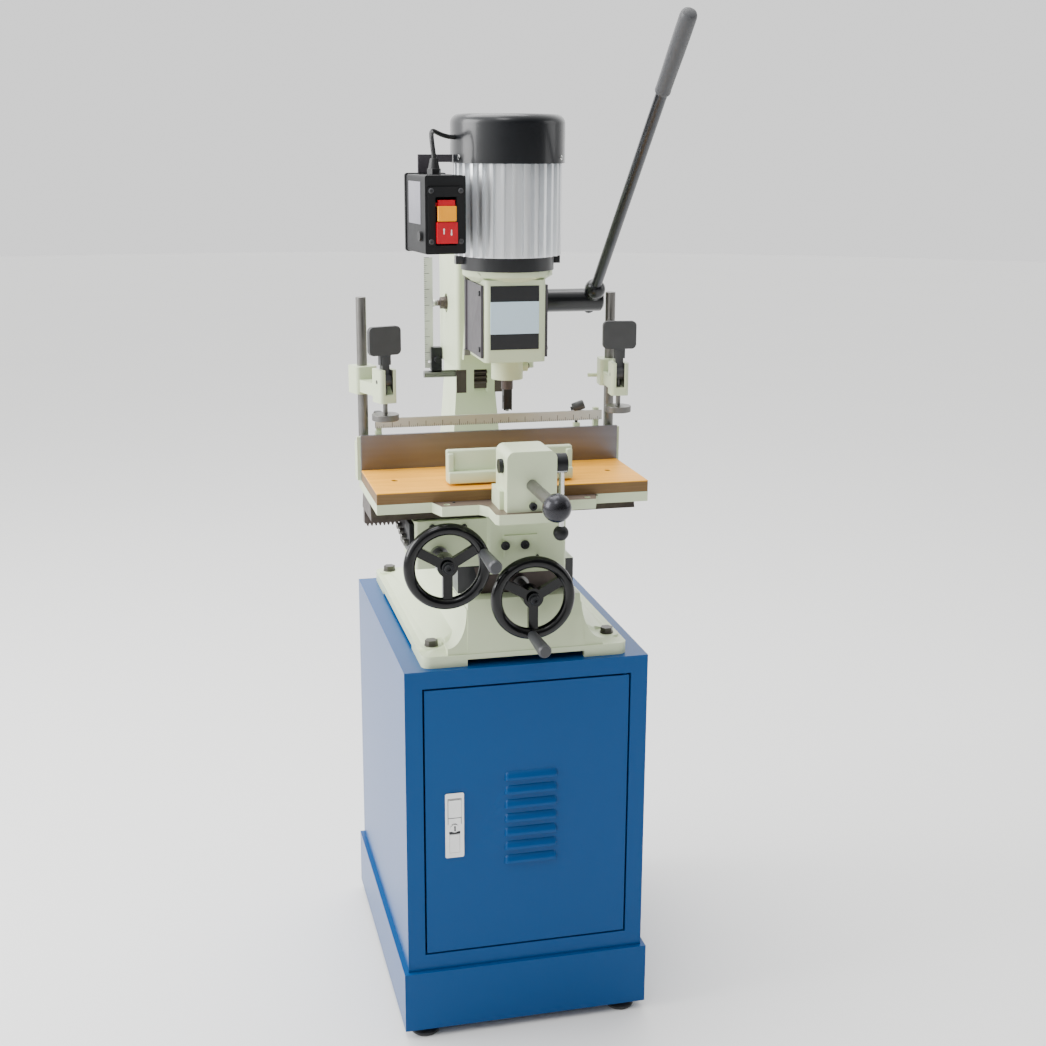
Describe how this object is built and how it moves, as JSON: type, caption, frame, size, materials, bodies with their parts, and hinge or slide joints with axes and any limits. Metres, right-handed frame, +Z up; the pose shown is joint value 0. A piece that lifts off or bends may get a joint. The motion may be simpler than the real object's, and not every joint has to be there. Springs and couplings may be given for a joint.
{
  "type": "hollow chisel mortiser on a cabinet stand",
  "caption": "Square chisel mortiser: a lever-fed drilling head on a dovetail column over a cross-slide table with fence and vise, on a sheet-metal cabinet",
  "frame": {"origin": "on the floor, midway between the four levelling feet", "axes": "+X to the right, +Y to the back of the machine, +Z up"},
  "size_m": [0.4345, 0.7695, 1.53],
  "materials": {
    "cabinet_enamel": "gloss enamel",
    "rubber_feet": "moulded rubber foot on a steel stud",
    "plated_steel": "bright plated latch",
    "casting_paint": "pale green-grey machine paint",
    "bolt_steel": "black oxide fasteners",
    "bare_steel": "machined steel",
    "dark_steel": "dark grey paint",
    "black_steel": "black oxide",
    "motor_black": "gloss black paint",
    "motor_aluminium": "extruded and brushed",
    "motor_core": "laminated core with copper windings",
    "black_plastic": "moulded",
    "hub_black": "gloss black paint",
    "gunmetal": "blued steel",
    "black_rubber": "moulded grip",
    "switch_black": "black box with a plain grey side",
    "paddle_red": "moulded",
    "key_yellow": "moulded",
    "cord_black": "round motor lead",
    "scale_steel": "satin steel with fine graduations",
    "wheel_black": "polished black",
    "grip_grey": "satin moulded grip",
    "table_wood": "varnished board",
    "fence_steel": "ground steel with a brown tinge",
    "post_steel": "dull round bar",
    "clamp_paint": "pale green-grey machine paint",
    "cam_grey": "dark cast lever"
  },
  "bodies": {
    "stand": {"cabinet_shell": "cabinet_enamel", "cabinet_plinth": "cabinet_enamel", "levelling_feet": "rubber_feet", "base_casting": "casting_paint", "base_bolts": "bolt_steel", "column": "casting_paint", "column_fittings": "bare_steel"},
    "door": {"cabinet_door": "cabinet_enamel", "door_latch": "plated_steel"},
    "latch": {"latch_flap": "plated_steel"},
    "head": {"head_casting": "casting_paint", "head_fasteners": "bolt_steel", "mortise_chisel": "black_steel", "motor_flange": "motor_black", "motor_housing": "motor_aluminium", "motor_inner_parts": "motor_core", "fan_cover": "motor_black", "switch_bracket": "bare_steel", "switch_box": "switch_black", "switch_fittings": "black_plastic", "motor_lead": "cord_black", "depth_scale": "scale_steel"},
    "spindle": {"motor_shaft": "bare_steel", "cooling_fan": "black_plastic", "drill_chuck": "bare_steel", "auger_bit": "bare_steel"},
    "left_chuck_door": {"chuck_door_left": "dark_steel"},
    "right_chuck_door": {"chuck_door_right": "dark_steel"},
    "lever": {"pinion_shaft": "bare_steel", "lever_hub": "hub_black", "feed_lever": "gunmetal", "lever_grip": "black_rubber"},
    "paddle": {"switch_paddle": "paddle_red"},
    "key": {"switch_key": "key_yellow"},
    "stop_block": {"depth_stop_block": "black_steel"},
    "saddle": {"saddle": "casting_paint"},
    "cross_wheel": {"cross_screw": "bare_steel", "cross_handwheel": "wheel_black"},
    "cross_wheel_grip": {"cross_grip": "grip_grey"},
    "table_wheel": {"table_shaft": "bare_steel", "table_handwheel": "wheel_black"},
    "table_wheel_grip": {"table_grip": "grip_grey"},
    "table": {"table_casting": "casting_paint", "table_rack": "bare_steel", "wood_table": "table_wood", "fence_casting": "casting_paint", "fence_plate": "fence_steel", "vise_block": "casting_paint"},
    "ruler": {"stop_ruler": "scale_steel"},
    "jaw": {"vise_jaw": "casting_paint", "vise_push_rod": "gunmetal"},
    "jaw_lock": {"vise_lock_lever": "black_steel"},
    "left_clamp_post": {"left_post": "post_steel"},
    "left_clamp_arm": {"left_arm": "clamp_paint"},
    "left_clamp_lever": {"left_cam_lever": "cam_grey"},
    "left_clamp_plunger": {"left_plunger": "bare_steel"},
    "right_clamp_post": {"right_post": "post_steel"},
    "right_clamp_arm": {"right_arm": "clamp_paint"},
    "right_clamp_lever": {"right_cam_lever": "cam_grey"},
    "right_clamp_plunger": {"right_plunger": "bare_steel"}
  },
  "joints": [
    {"name": "door_hinge", "type": "hinge", "parent": "stand", "child": "door", "pos_m": [0.153, -0.242, 0.358], "axis": [0, 0, 1], "range_deg": [0, 110]},
    {"name": "latch_lift", "type": "hinge", "parent": "door", "child": "latch", "pos_m": [-0.114, -0.246, 0.339], "axis": [-1, 0, 0], "range_deg": [0, 40], "stiffness_Nm_per_rad": 0.05},
    {"name": "head_feed", "type": "slide", "parent": "stand", "child": "head", "axis": [0, 0, 1], "range_m": [0, 0.1]},
    {"name": "lever_swing", "type": "hinge", "parent": "head", "child": "lever", "pos_m": [0.178, 0.058, 1.108], "axis": [1, 0, 0], "range_deg": [-191, 0]},
    {"name": "spindle_spin", "type": "hinge", "parent": "head", "child": "spindle", "pos_m": [0, -0.103, 1.1], "axis": [0, 0, 1], "continuous": true},
    {"name": "left_chuck_door_hinge", "type": "hinge", "parent": "head", "child": "left_chuck_door", "pos_m": [-0.0502, -0.047, 1.101], "axis": [0, 0, -1], "range_deg": [0, 110]},
    {"name": "right_chuck_door_hinge", "type": "hinge", "parent": "head", "child": "right_chuck_door", "pos_m": [0.0502, -0.047, 1.101], "axis": [0, 0, 1], "range_deg": [0, 110]},
    {"name": "paddle_hinge", "type": "hinge", "parent": "head", "child": "paddle", "pos_m": [-0.11449, -0.21103, 1.273], "axis": [-0.9925, -0.1219, 0], "range_deg": [0, 20]},
    {"name": "key_pull", "type": "slide", "parent": "paddle", "child": "key", "axis": [0.1219, -0.9925, 0], "range_m": [0, 0.015]},
    {"name": "stop_block_slide", "type": "slide", "parent": "head", "child": "stop_block", "axis": [0, 0, 1], "range_m": [0, 0.06]},
    {"name": "cross_wheel_turn", "type": "hinge", "parent": "stand", "child": "cross_wheel", "pos_m": [0, -0.272, 0.714], "axis": [0, 1, 0], "range_deg": [0, 6124]},
    {"name": "saddle_slide", "type": "slide", "parent": "stand", "child": "saddle", "axis": [0, 1, 0], "range_m": [0, 0.085]},
    {"name": "cross_grip_spin", "type": "hinge", "parent": "cross_wheel", "child": "cross_wheel_grip", "pos_m": [-0.00285, -0.302, 0.65958], "axis": [0, 1, 0], "continuous": true},
    {"name": "table_slide", "type": "slide", "parent": "saddle", "child": "table", "axis": [1, 0, 0], "range_m": [-0.075, 0.075]},
    {"name": "table_wheel_turn", "type": "hinge", "parent": "saddle", "child": "table_wheel", "pos_m": [-0.131, -0.295, 0.7762], "axis": [0, 1, 0], "range_deg": [-196, 196]},
    {"name": "table_grip_spin", "type": "hinge", "parent": "table_wheel", "child": "table_wheel_grip", "pos_m": [-0.07979, -0.325, 0.79484], "axis": [0, 1, 0], "continuous": true},
    {"name": "ruler_slide", "type": "slide", "parent": "table", "child": "ruler", "axis": [1, 0, 0], "range_m": [-0.06, 0.06]},
    {"name": "jaw_slide", "type": "slide", "parent": "table", "child": "jaw", "axis": [0, 1, 0], "range_m": [0, 0.1]},
    {"name": "jaw_lock_turn", "type": "hinge", "parent": "table", "child": "jaw_lock", "pos_m": [-0.026, -0.338, 0.9275], "axis": [-1, 0, 0], "range_deg": [0, 120]},
    {"name": "left_post_swing", "type": "hinge", "parent": "table", "child": "left_clamp_post", "pos_m": [-0.22, -0.106, 1.005], "axis": [0, 0, -1], "range_deg": [0, 100]},
    {"name": "left_arm_slide", "type": "slide", "parent": "left_clamp_post", "child": "left_clamp_arm", "axis": [0, 0, 1], "range_m": [-0.02, 0.09]},
    {"name": "left_lever_press", "type": "hinge", "parent": "left_clamp_arm", "child": "left_clamp_lever", "pos_m": [-0.19713, -0.17638, 1.023], "axis": [0.9511, 0.309, 0], "range_deg": [0, 90]},
    {"name": "left_plunger_drop", "type": "slide", "parent": "left_clamp_arm", "child": "left_clamp_plunger", "axis": [0, 0, -1], "range_m": [0, 0.0043]},
    {"name": "right_post_swing", "type": "hinge", "parent": "table", "child": "right_clamp_post", "pos_m": [0.16, -0.106, 1.005], "axis": [0, 0, 1], "range_deg": [0, 96]},
    {"name": "right_arm_slide", "type": "slide", "parent": "right_clamp_post", "child": "right_clamp_arm", "axis": [0, 0, 1], "range_m": [-0.02, 0.09]},
    {"name": "right_lever_press", "type": "hinge", "parent": "right_clamp_arm", "child": "right_clamp_lever", "pos_m": [0.15227, -0.1796, 1.023], "axis": [0.9945, -0.1045, 0], "range_deg": [0, 90]},
    {"name": "right_plunger_drop", "type": "slide", "parent": "right_clamp_arm", "child": "right_clamp_plunger", "axis": [0, 0, -1], "range_m": [0, 0.0043]}
  ],
  "couplings": [
    {"joint": "lever_swing", "follows": "head_feed", "rad_per_m": -33.333},
    {"joint": "cross_wheel_turn", "follows": "saddle_slide", "rad_per_m": 1256.6},
    {"joint": "table_wheel_turn", "follows": "table_slide", "rad_per_m": 45.455},
    {"joint": "left_plunger_drop", "follows": "left_lever_press", "m_per_rad": 0.0027},
    {"joint": "right_plunger_drop", "follows": "right_lever_press", "m_per_rad": 0.0027}
  ]
}
